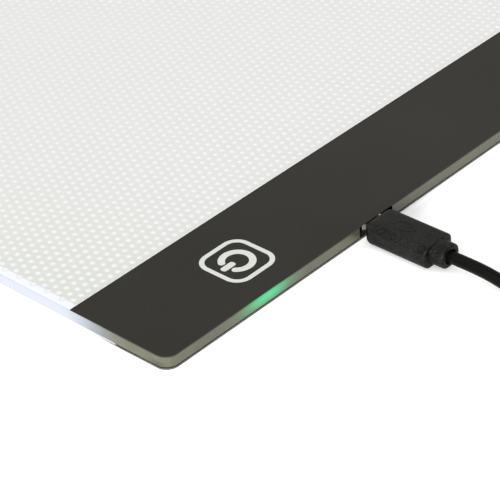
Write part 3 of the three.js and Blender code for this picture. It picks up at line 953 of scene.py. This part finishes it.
def wrapped(count: int) -> list[tuple[int, int]]:
    """Returns each index of a closed ring with the next one."""
    return [(i, (i + 1) % count) for i in range(count)]


def grown(name: str, tree: bpy.types.NodeTree, values: dict[str, object]) -> Piece:
    """Runs a geometry node tree once and keeps what it makes as a plain mesh.

    Args:
        name: the new piece's name.
        tree: the node tree.
        values: a value for each of the tree's named inputs.

    Returns:
        The new piece.
    """
    seed = placed(f"{name}_seed", bpy.data.meshes.new(f"{name}_seed"))
    modifier = seed.modifiers.new("grow", "NODES")
    modifier.node_group = tree
    for item in tree.interface.items_tree:
        if item.in_out == "INPUT" and item.name in values:
            modifier[item.identifier] = values[item.name]
    graph = bpy.context.evaluated_depsgraph_get()
    graph.update()
    mesh = bpy.data.meshes.new_from_object(seed.evaluated_get(graph), depsgraph=graph)
    seed.modifiers.remove(modifier)
    bpy.data.objects.remove(seed)
    mesh.name = name
    return placed(name, mesh)


# ---------------------------------------------------------------- the pad


@dataclass
class LightGuide:
    """The acrylic sheet with its lattice of dots, over the lit reflector.

    The guide is a copy of the CAD sheet, so that its faces can take two finishes.
    """

    corner: float = 4.0 * MM
    reach: float = 0.25 * MM
    level: float = 0.9
    pitch: float = 2.9 * MM
    dot_radius: float = 1.05 * MM
    dot_height: float = 0.02 * MM
    dot_sides: int = 12
    first_dot_in: Span = (4.09 * MM, 38.5 * MM)
    last_dot_in: Span = (4.09 * MM, 4.1 * MM)
    slot_in: float = 19.0 * MM
    glow_in: float = 39.8 * MM

    def __post_init__(self) -> None:
        """Reads the places that the finishes need from the frame."""
        self.low, self.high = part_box("light_guide_plate")
        self.strip_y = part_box("control_strip_film")[1].y
        self.slot_y = self.low.y + self.slot_in

    def zone(self, polygon: bpy.types.MeshPolygon) -> Zone:
        """Says which finish a face of the guide takes.

        Args:
            polygon: the face.

        Returns:
            Polished for the flat faces and inside the cut-outs, and cut edge all round.
        """
        centre, inset = polygon.center, self.corner + self.reach
        outer = (
            centre.x < self.low.x + inset
            or centre.x > self.high.x - inset
            or centre.y < self.low.y + self.reach
            or centre.y > self.high.y - inset
        )
        if abs(polygon.normal.z) > self.level or not outer:
            return Zone.POLISHED
        return Zone.CUT_EDGE

    def build_guide(self) -> None:
        """Builds the clear sheet and gives each of its faces a finish."""
        build = bmesh.new()
        build.from_mesh(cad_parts["light_guide_plate"].data)
        bmesh.ops.remove_doubles(build, verts=build.verts[:], dist=MERGE_DISTANCE)
        guide = mesh_piece("light_guide", build, smooth=False)
        low, high = self.low, self.high
        edge = CutEdge(low.x + self.glow_in, low.y, low.z, high.z, self.slot_y)
        for finish in (PolishedAcrylic(), edge):
            guide.data.materials.append(finish.material())
        for polygon in guide.data.polygons:
            polygon.material_index = self.zone(polygon).value
        finish_piece(guide, Body.PAD, None)
        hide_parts("light_guide_plate")

    def lattice_tree(self, ink: Material) -> bpy.types.NodeTree:
        """Builds the node tree that lays the dots out in staggered rows.

        Args:
            ink: the material of the dots.

        Returns:
            The tree, with inputs for the rows, the columns, the pitch and the dots' size.
        """
        tree = bpy.data.node_groups.new("dot_lattice", "GeometryNodeTree")
        sockets = {
            "Geometry": ("Geometry",),
            "Int": ("Columns", "Rows"),
            "Float": ("Pitch", "Dot Radius", "Dot Height"),
            "Vector": ("Corner",),
        }
        for kind, names in sockets.items():
            for name in names:
                tree.interface.new_socket(name, in_out="INPUT", socket_type=f"NodeSocket{kind}")
        tree.interface.new_socket("Geometry", in_out="OUTPUT", socket_type="NodeSocketGeometry")
        kit = NodeKit(tree)
        inputs = kit.add("NodeGroupInput").outputs
        columns, pitch, radius = inputs["Columns"], inputs["Pitch"], inputs["Dot Radius"]

        index = kit.add("GeometryNodeInputIndex").outputs[0]
        row = kit.math("FLOOR", kit.math("DIVIDE", kit.math("ADD", index, 0.5), columns))
        column = kit.math("SUBTRACT", index, kit.math("MULTIPLY", row, columns))
        stagger = kit.math("MULTIPLY", kit.math("MODULO", row, 2.0), 0.5)
        x = kit.math("MULTIPLY", kit.math("ADD", column, stagger), pitch)
        place = kit.add("ShaderNodeCombineXYZ", X=x, Y=kit.math("MULTIPLY", row, pitch))
        moved = kit.add("ShaderNodeVectorMath")
        kit.link(place.outputs[0], moved.inputs[0])
        kit.link(inputs["Corner"], moved.inputs[1])
        count = kit.math("MULTIPLY", columns, inputs["Rows"])
        points = kit.add("GeometryNodePoints", Count=count, Position=moved.outputs[0])

        cone = kit.add(
            "GeometryNodeMeshCone", Vertices=self.dot_sides, Radius_Top=0.0,
            Radius_Bottom=radius, Depth=inputs["Dot Height"],
        )
        cone.fill_type = "NGON"
        spread = kit.add("ShaderNodeVectorMath")
        spread.operation = "LENGTH"
        kit.link(kit.add("GeometryNodeInputPosition").outputs[0], spread.inputs[0])
        core = kit.math("SUBTRACT", 1.0, kit.math("DIVIDE", spread.outputs["Value"], radius))
        dot = kit.add(
            "GeometryNodeStoreNamedAttribute", Geometry=cone.outputs["Mesh"],
            Name=DOT_CORE, Value=core,
        )
        copies = kit.add(
            "GeometryNodeInstanceOnPoints", Points=points.outputs[0], Instance=dot.outputs[0]
        )
        real = kit.add("GeometryNodeRealizeInstances", Geometry=copies.outputs[0])
        inked = kit.add("GeometryNodeSetMaterial", Material=ink, Geometry=real.outputs[0])
        kit.add("NodeGroupOutput", Geometry=inked.outputs[0])
        return tree

    def build_dots(self) -> None:
        """Lays the printed dots out under the lit face."""
        backing_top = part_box("reflector_sheet")[1].z
        corner = Vector((
            self.low.x + self.first_dot_in[0],
            self.low.y + self.first_dot_in[1],
            (backing_top + self.low.z) / 2,
        ))
        width = self.high.x - self.last_dot_in[0] - corner.x
        length = self.high.y - self.last_dot_in[1] - corner.y
        values = {
            "Columns": int(width / self.pitch),
            "Rows": int(length / self.pitch) + 1,
            "Pitch": self.pitch,
            "Dot Radius": self.dot_radius,
            "Dot Height": self.dot_height,
            "Corner": corner,
        }
        tree = self.lattice_tree(DotInk(self.strip_y).material())
        finish_piece(grown("guide_dots", tree, values), Body.PAD, None)

    def dress(self) -> None:
        """Dresses the sheets under the guide."""
        lit = LitSheet(self.low.x, self.strip_y, self.slot_y, self.high.y)
        dress_node("reflector_sheet", lit.material())
        dress_node("rear_cover", PlainSheet(self.slot_y).material())
        dress_node("bay_mask_film", MattFilm("mask_film").material())


@dataclass
class ControlStrip:
    """The charcoal strip film and the touch mark that is printed in it."""

    mark_nodes: tuple[str, ...] = ("power_key_frame", "power_key_arc", "power_key_bar")

    def dress(self) -> None:
        """Dresses the film and the mark."""
        dress_node("control_strip_film", MattFilm().material())
        ink = PrintInk().material()
        for node in self.mark_nodes:
            dress_node(node, ink)


@dataclass
class Electronics:
    """The boards, chips, LEDs, leads and socket inside the front edge."""

    led_count: int = 24

    def dress(self) -> None:
        """Dresses every inner piece with the finish of its real material."""
        chip = FleckedPart("chip_resin", (0.012, 0.012, 0.013), (0.03, 0.03, 0.032), 9000.0)
        ceramic = FleckedPart("fired_ceramic", (0.36, 0.25, 0.13), (0.44, 0.33, 0.2), 7000.0, 0.4)
        lamp = FleckedPart("lamp_body", (0.86, 0.80, 0.52), (0.9, 0.86, 0.66), 9000.0, 0.35, 0.6)
        green = FleckedPart("green_lamp", (0.1, 0.85, 0.35), (0.16, 0.9, 0.45), 9000.0, 0.3, 0.8)
        foam = FleckedPart("foam_block", (0.05, 0.052, 0.056), (0.10, 0.10, 0.11), 3200.0, 0.9)
        resin = FleckedPart(
            "contact_resin", (0.012, 0.012, 0.013), (0.022, 0.022, 0.023), 6000.0, 0.55
        )
        red = FleckedPart("red_insulation", (0.45, 0.02, 0.015), (0.5, 0.04, 0.03), 2600.0, 0.4)
        black = FleckedPart(
            "black_insulation", (0.012, 0.012, 0.012), (0.02, 0.02, 0.02), 2600.0, 0.4
        )
        leds = [f"led_{number:02d}" for number in range(1, self.led_count + 1)]
        dresses = (
            (CircuitMask(), ["led_bar_board", "control_board"]),
            (chip, ["touch_chip", "dimmer_transistor", "resistor_1", "resistor_2"]),
            (ceramic, ["capacitor_1", "capacitor_2"]),
            (green, ["indicator_led"]),
            (foam, ["touch_foam"]),
            (resin, ["usb_socket_tongue"]),
            (red, ["lead_red"]),
            (black, ["lead_black"]),
            (PlatedSteel("socket_plating"), ["usb_socket_shell"]),
            (lamp, leds),
        )
        for finish, nodes in dresses:
            material = finish.material()
            for node in nodes:
                dress_node(node, material)


@dataclass
class Feet:
    """The four rubber feet, turned with round shoulders."""

    names: tuple[str, ...] = (
        "foot_front_left", "foot_front_right", "foot_back_left", "foot_back_right",
    )
    sole_share: float = 0.66
    around: int = 72
    shoulder_steps: int = 8

    def profile(self, radius: float, height: float) -> list[Span]:
        """Returns a foot's outline as radius and height, from the middle of its sole to the top.

        Args:
            radius: the foot's radius.
            height: the foot's height.

        Returns:
            The outline's points.
        """
        sole = radius * self.sole_share
        points = [(0.0, 0.0), (sole * 0.55, 0.0), (sole, 0.0)]
        for step in range(1, self.shoulder_steps + 1):
            angle = step / self.shoulder_steps * math.pi / 2
            out, up = math.sin(angle), 1 - math.cos(angle)
            points.append((sole + (radius - sole) * out, height * 0.8 * up))
        return points + [(radius, height * 0.9), (radius * 0.99, height), (0.0, height)]

    def build(self) -> None:
        """Turns each foot in place of its CAD node."""
        rubber = SoftRubber().material()
        for name in self.names:
            low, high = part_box(name)
            centre = (low + high) / 2
            outline = self.profile((high.x - low.x) / 2, high.z - low.z)
            build = bmesh.new()
            corners = [build.verts.new((centre.x + r, centre.y, low.z + z)) for r, z in outline]
            edges = [build.edges.new(pair) for pair in zip(corners, corners[1:])]
            bmesh.ops.spin(
                build, geom=corners + edges, cent=(centre.x, centre.y, 0), axis=(0, 0, 1),
                angle=2 * math.pi, steps=self.around, use_merge=True,
            )
            bmesh.ops.remove_doubles(build, verts=build.verts[:], dist=MERGE_DISTANCE)
            foot = mesh_piece(f"{name}_pad", build)
            finish_piece(foot, Body.PAD, rubber)
            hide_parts(name)


# ---------------------------------------------------------------- the lead


@dataclass
class MicroPlug:
    """The moulded micro USB plug: a grip, a stepped collar and a raised oval for the thumb."""

    width: float = 12.3 * MM
    height: float = 7.2 * MM
    corner: float = 2.3 * MM
    length: float = 22.1 * MM
    nose: float = 1.9 * MM
    heel: float = 0.5 * MM
    collar: tuple[float, float, float] = (7.9 * MM, 6.8 * MM, 3.0 * MM)
    collar_length: float = 4.45 * MM
    collar_fillet: float = 0.7 * MM
    bore_depth: float = 0.9 * MM
    corner_steps: int = 14
    oval: Span = (2.0 * MM, 3.6 * MM)
    oval_along: float = 0.45
    oval_sink: float = 0.06 * MM
    oval_rise: float = 0.22 * MM
    oval_half_width: float = 0.42 * MM
    oval_steps: tuple[int, int] = (56, 10)

    def __post_init__(self) -> None:
        """Finds the middle of the grip's front face."""
        low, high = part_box("plug_body")
        self.centre = Vector(((low.x + high.x) / 2, high.y, low.z + self.height / 2))

    def sections(self) -> list[Section]:
        """Draws the grip from its nose to the hole that the cord comes out of.

        Returns:
            The sections.
        """
        end, stop = self.length, self.length + self.collar_length
        nose = Section(self.nose, self.width, self.height, self.corner)
        heel = nose.inset(end - self.heel, 0, 0, 0)
        neck = Section(end + 0.2 * MM, *self.collar)
        rim = neck.inset(stop - self.collar_fillet, 0, 0, 0)
        return [
            *eased(nose, nose.inset(0.0, 3.4 * MM, 2.4 * MM, 0.7 * MM))[::-1],
            *eased(heel, heel.inset(end, 0.9 * MM, 0.35 * MM, 0.2 * MM)),
            neck.inset(end, -0.3 * MM, -0.05 * MM, -0.1 * MM),
            neck,
            *eased(rim, rim.inset(stop, 1.3 * MM, 1.2 * MM, 0.5 * MM)),
            Section(stop, 4.9 * MM, 4.7 * MM, 2.2 * MM),
            Section(stop - self.bore_depth, 4.4 * MM, 4.4 * MM, 2.1 * MM),
        ]

    def build(self) -> None:
        """Moulds the grip in place of its CAD node."""
        place = Matrix.Translation(self.centre) @ Matrix.Rotation(math.pi / 2, 4, "X")
        grip = mesh_piece("plug_grip", loft(self.sections(), place, self.corner_steps))
        smooth_by_angle(grip)
        pvc = MouldedPvc().material()
        finish_piece(grip, Body.LEAD, pvc)
        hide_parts("plug_body")
        finish_piece(self.thumb_oval(), Body.LEAD, pvc)
        dress_node("plug_shell", PlatedSteel().material())
        resin = FleckedPart(
            "plug_resin", (0.014, 0.014, 0.015), (0.025, 0.025, 0.026), 6000.0, 0.55
        )
        dress_node("plug_contacts", resin.material())

    def thumb_oval(self) -> Piece:
        """Builds the raised oval rim on top of the grip.

        Returns:
            The rim.
        """
        build = bmesh.new()
        around, across = self.oval_steps
        middle = Vector((0, -self.length * self.oval_along, self.height / 2 - self.oval_sink))
        rings = []
        for i in range(around):
            turn = i / around * 2 * math.pi
            outward = Vector((math.cos(turn), math.sin(turn), 0))
            core = Vector((outward.x * self.oval[0], outward.y * self.oval[1], 0))
            ring = []
            for j in range(across):
                angle = j / across * 2 * math.pi
                lift = Vector((0, 0, max(math.sin(angle), -0.3) * self.oval_rise))
                side = outward * math.cos(angle) * self.oval_half_width
                ring.append(build.verts.new(self.centre + middle + core + side + lift))
            rings.append(ring)
        for i, k in wrapped(around):
            for j, m in wrapped(across):
                build.faces.new((rings[i][j], rings[k][j], rings[k][m], rings[i][m]))
        return mesh_piece("plug_thumb_oval", build)


@dataclass
class UsbAPlug:
    """The USB-A plug at the far end: a moulded grip, a steel shell and its insulator."""

    width: float = 15.6 * MM
    height: float = 7.8 * MM
    corner: float = 2.2 * MM
    relief: float = 8.0 * MM
    shoulder: float = 2.5 * MM
    taper: float = 7.0 * MM
    grip_length: float = 25.0 * MM
    end_fillet: float = 0.8 * MM
    corner_steps: int = 12

    def __post_init__(self) -> None:
        """Finds where the strain relief starts."""
        low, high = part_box("usb_a_body")
        self.start = Vector((low.x, (low.y + high.y) / 2, (low.z + high.z) / 2))

    def sections(self) -> list[Section]:
        """Draws the grip from its tapered strain relief to its end face.

        Returns:
            The sections.
        """
        end = self.relief + self.grip_length
        full = Section(self.relief + self.taper, self.width, self.height, self.corner)
        shoulder = full.inset(self.relief + self.shoulder, 1.0 * MM, 0, 0)
        last = full.inset(end - self.end_fillet, 0, 0, 0)
        return [
            Section(0.0, 4.6 * MM, 4.6 * MM, 2.25 * MM),
            Section(0.4 * MM, 5.4 * MM, 5.4 * MM, 2.6 * MM),
            Section(self.relief - 1.0 * MM, 6.6 * MM, 6.4 * MM, 2.9 * MM),
            *eased(shoulder, full.inset(self.relief, 4.0 * MM, 1.0 * MM, 0))[::-1],
            full,
            *eased(last, last.inset(end, 1.2 * MM, 1.2 * MM, 0.5 * MM)),
        ]

    def build(self) -> None:
        """Moulds the grip in place of its CAD node."""
        lie = Matrix.Rotation(math.pi / 2, 4, "X") @ Matrix.Rotation(math.pi / 2, 4, "Y")
        place = Matrix.Translation(self.start) @ lie
        grip = mesh_piece("usb_a_grip", loft(self.sections(), place, self.corner_steps))
        smooth_by_angle(grip)
        finish_piece(grip, Body.LEAD, MouldedPvc("usb_a_pvc").material())
        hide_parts("usb_a_body")
        dress_node("usb_a_shell", PlatedSteel("usb_a_plating").material())
        insert = FleckedPart("insert_resin", (0.62, 0.62, 0.6), (0.7, 0.7, 0.68), 5200.0, 0.45)
        dress_node("usb_a_insert", insert.material())


@dataclass
class Cord:
    """The cord: out of the plug, down to the table, round its coil and into the USB-A plug."""

    length: float = 1.05
    diameter: float = 3.8 * MM
    coil_radius: float = 21.8 * MM
    lanes: int = 4
    points_per_turn: int = 24
    lane_change: float = 0.22
    lie_height: float = 0.503
    coil_from_plug: float = 40.2 * MM
    exit_z: float = 4.0 * MM
    lead_in_route: tuple[Span, ...] = (
        (2, 4), (0, 4), (-3, 4.01), (-6.2, 4.02), (-9.5, 3.97), (-12.5, 3.78), (-15.5, 3.42),
        (-18.5, 2.98), (-21.5, 2.55), (-24.5, 2.22), (-28, 2.0), (-32, 1.92), (-36, 1.91),
    )
    tail_route: tuple[Span, ...] = (
        (4, 5.5), (8, 5.1), (12, 4.55), (15.2, 4.1), (18, 3.6), (21, 3.25), (24, 3.15),
        (27, 3.3), (30.5, 3.65), (33.7, 3.95), (36, 3.95),
    )
    jacket: MouldedPvc = MouldedPvc(
        "cord_jacket", colour=(0.0016, 0.0017, 0.0014), pale=(0.0040, 0.0041, 0.0036),
        roughness=0.24, texture_scale=3200.0, depth=0.02 * MM, gloss=0.05,
    )

    def __post_init__(self) -> None:
        """Works out the coil's middle and the line that the tail leaves on."""
        low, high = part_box("plug_body")
        self.port_x = (low.x + high.x) / 2
        self.exit_y = low.y
        self.outer_radius = self.coil_radius + (self.lanes - 1) / 2 * self.diameter
        self.coil_x = self.port_x + self.outer_radius
        self.coil_y = self.exit_y - self.coil_from_plug
        self.tail_y = self.coil_y - self.outer_radius

    def lead_in(self) -> list[Point]:
        """Returns the listed points from inside the collar to the coil."""
        return [(self.port_x, self.exit_y + y * MM, z * MM) for y, z in self.lead_in_route]

    def tail(self) -> list[Point]:
        """Returns the listed points from the coil into the USB-A plug."""
        return [(self.coil_x + x * MM, self.tail_y, z * MM) for x, z in self.tail_route]

    def coil_point(self, turn: float) -> Point:
        """Returns where the cord is after so many turns.

        It lies still in a lane for most of a turn and changes lane at the end of it: inwards on the
        table, then up, then outwards on top.

        Args:
            turn: how many turns it has made.

        Returns:
            The place on its centre line.
        """
        whole = math.floor(turn)
        part = min(1.0, max(0.0, (turn - whole - 1 + self.lane_change) / self.lane_change))
        level = whole + part * part * (3 - 2 * part)
        lift = min(1.0, max(0.0, level - (self.lanes - 1)))
        lane = min(level, self.lanes - 1) - max(0.0, level - self.lanes)
        radius = self.outer_radius - lane * self.diameter
        angle = math.pi + turn * 2 * math.pi
        x = self.coil_x + radius * math.cos(angle)
        y = self.coil_y + radius * math.sin(angle)
        return (x, y, self.diameter * (self.lie_height + lift))

    def coil(self) -> list[Point]:
        """Winds the coil.

        Returns:
            Its points, from where the cord reaches it to where the cord leaves it.
        """
        turns = 2 * self.lanes - 0.75
        steps = round(turns * self.points_per_turn)
        return [self.coil_point(step / self.points_per_turn) for step in range(steps + 1)]

    def build(self) -> None:
        """Lays the cord."""
        curve = bpy.data.curves.new("usb_lead_cord", "CURVE")
        curve.dimensions = "3D"
        curve.bevel_depth = self.diameter / 2
        curve.bevel_resolution = 5
        curve.resolution_u = 5
        curve.use_fill_caps = True
        route = self.lead_in() + self.coil() + self.tail()
        spline = curve.splines.new("BEZIER")
        spline.bezier_points.add(len(route) - 1)
        for knot, point in zip(spline.bezier_points, route):
            knot.co = point
            knot.handle_left_type = "AUTO"
            knot.handle_right_type = "AUTO"
        cord = placed("usb_lead_cord", curve)
        finish_piece(cord, Body.LEAD, self.jacket.material())
        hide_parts("usb_cord", "usb_cord_coil", "usb_cord_tail")
        self.piece = cord


# ---------------------------------------------------------------- the studio


@dataclass(frozen=True)
class SoftLamp:
    """A square area lamp that points at the pad's middle."""

    name: str
    place: Point
    size: float
    power: float

    def hang(self) -> None:
        """Hangs the lamp."""
        data = bpy.data.lights.new(self.name, "AREA")
        data.size = self.size
        data.energy = self.power
        lamp = placed(self.name, data)
        lamp.location = self.place
        lamp.rotation_euler = (-Vector(self.place)).to_track_quat("-Z", "Y").to_euler()


@dataclass
class Studio:
    """A white table in soft light, and the camera over the pad's front left corner."""

    target: Point = (-0.06574, -0.15039, 0.00605)
    azimuth: float = math.radians(45.93)
    elevation: float = math.radians(34.23)
    roll: float = math.radians(-3.62)
    distance: float = 0.6285
    lens: float = 160.4
    world_strength: float = 0.95
    lamps: tuple[SoftLamp, ...] = (
        SoftLamp("key_lamp", (-0.9, 0.6, 1.5), 1.3, 6.0),
        SoftLamp("side_lamp", (-1.3, -0.9, 0.4), 0.7, 34.0),
    )
    table_half: float = 4.0
    table_white: Colour = (0.93, 0.93, 0.93)
    table_shade: Colour = (0.91, 0.91, 0.91)
    table_light: float = 0.16

    def place_camera(self) -> None:
        """Aims the camera at the front left corner of the pad."""
        data = bpy.data.cameras.new("camera")
        data.lens = self.lens
        data.sensor_width = 36.0
        data.clip_start = 0.01
        data.clip_end = 20.0
        east, north = math.sin(self.azimuth), math.cos(self.azimuth)
        level = math.cos(self.elevation)
        forward = Vector((east * level, north * level, -math.sin(self.elevation)))
        flat = Vector((north, -east, 0))
        upright = flat.cross(forward)
        right = flat * math.cos(self.roll) + upright * math.sin(self.roll)
        up = right.cross(forward)
        camera = placed("camera", data)
        place = Vector(self.target) - forward * self.distance
        axes = Matrix((right, up, -forward)).transposed().to_4x4()
        camera.matrix_world = Matrix.Translation(place) @ axes
        bpy.context.scene.camera = camera

    def light(self) -> None:
        """Hangs the soft lamps in a white world."""
        world = bpy.data.worlds.new("white_room")
        world.use_nodes = True
        background = world.node_tree.nodes["Background"]
        background.inputs["Color"].default_value = (1.0, 1.0, 1.0, 1.0)
        background.inputs["Strength"].default_value = self.world_strength
        bpy.context.scene.world = world
        for lamp in self.lamps:
            lamp.hang()

    def lay_floor(self) -> None:
        """Lays the white table that the light box stands on."""
        build = bmesh.new()
        bmesh.ops.create_grid(build, x_segments=1, y_segments=1, size=self.table_half)
        floor = mesh_piece("studio_floor", build, smooth=False)
        sketch = Sketch("table_white", Roughness=0.7, Specular_IOR_Level=0.2)
        sketch.paint(sketch.noise(60.0, 3.0), self.table_white, self.table_shade)
        sketch.shader.inputs["Emission Color"].default_value = rgba((1.0, 1.0, 1.0))
        sketch.shader.inputs["Emission Strength"].default_value = self.table_light
        self.open_from_below(sketch)
        floor.data.materials.append(sketch.material)

    def open_from_below(self, sketch: Sketch) -> None:
        """Makes a surface clear from behind, so that the underside of what stands on it shows.

        Args:
            sketch: the surface's material.
        """
        clear = sketch.add("ShaderNodeBsdfTransparent").outputs[0]
        mix = sketch.add("ShaderNodeMixShader")
        side = sketch.add("ShaderNodeNewGeometry").outputs["Backfacing"]
        for number, source in enumerate((side, sketch.shader.outputs[0], clear)):
            sketch.link(source, mix.inputs[number])
        sketch.link(mix.outputs[0], sketch.tree.nodes["Material Output"].inputs["Surface"])

    def build(self) -> None:
        """Sets the whole studio up, with plain, unshifted colours."""
        self.place_camera()
        self.light()
        self.lay_floor()
        bpy.context.scene.view_settings.view_transform = "Standard"
        bpy.context.scene.view_settings.look = "None"


def main() -> None:
    """Builds the light box piece by piece."""
    logging.basicConfig(level=logging.INFO, format="%(name)s: %(message)s")
    Studio().build()
    cord = Cord()
    cord.build()
    guide = LightGuide()
    guide.build_guide()
    guide.build_dots()
    guide.dress()
    ControlStrip().dress()
    Electronics().dress()
    Feet().build()
    MicroPlug().build()
    UsbAPlug().build()


if __name__ == "__main__":
    main()
